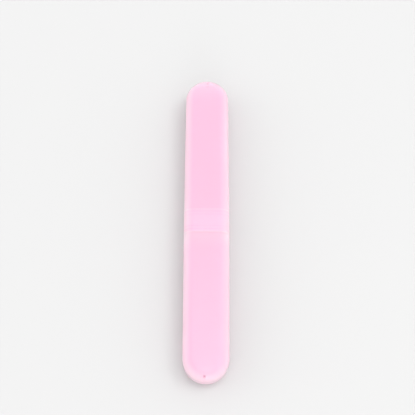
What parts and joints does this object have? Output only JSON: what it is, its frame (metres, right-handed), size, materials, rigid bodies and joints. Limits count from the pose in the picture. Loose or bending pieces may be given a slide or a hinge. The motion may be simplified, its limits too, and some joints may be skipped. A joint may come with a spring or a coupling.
{
  "type": "travel toothbrush holder",
  "caption": "Slim translucent travel toothbrush case with round ends: a base with a beaded neck, a pull-off cap that slides over it, and small air vents.",
  "frame": {"origin": "centre of the flat back face that the case lies on, halfway along its closed length", "axes": "+Y along the case towards the cap's closed end, +Z out of the front face, +X across it"},
  "size_m": [0.0288, 0.2, 0.0205],
  "materials": {
    "pink_plastic": "pale pink translucent polypropylene, satin"
  },
  "bodies": {
    "base": {"case_base": "pink_plastic"},
    "cap": {"case_cap": "pink_plastic"}
  },
  "joints": [
    {"name": "cap_slide", "type": "slide", "parent": "base", "child": "cap", "axis": [0, 1, 0], "range_m": [0, 0.12]}
  ]
}
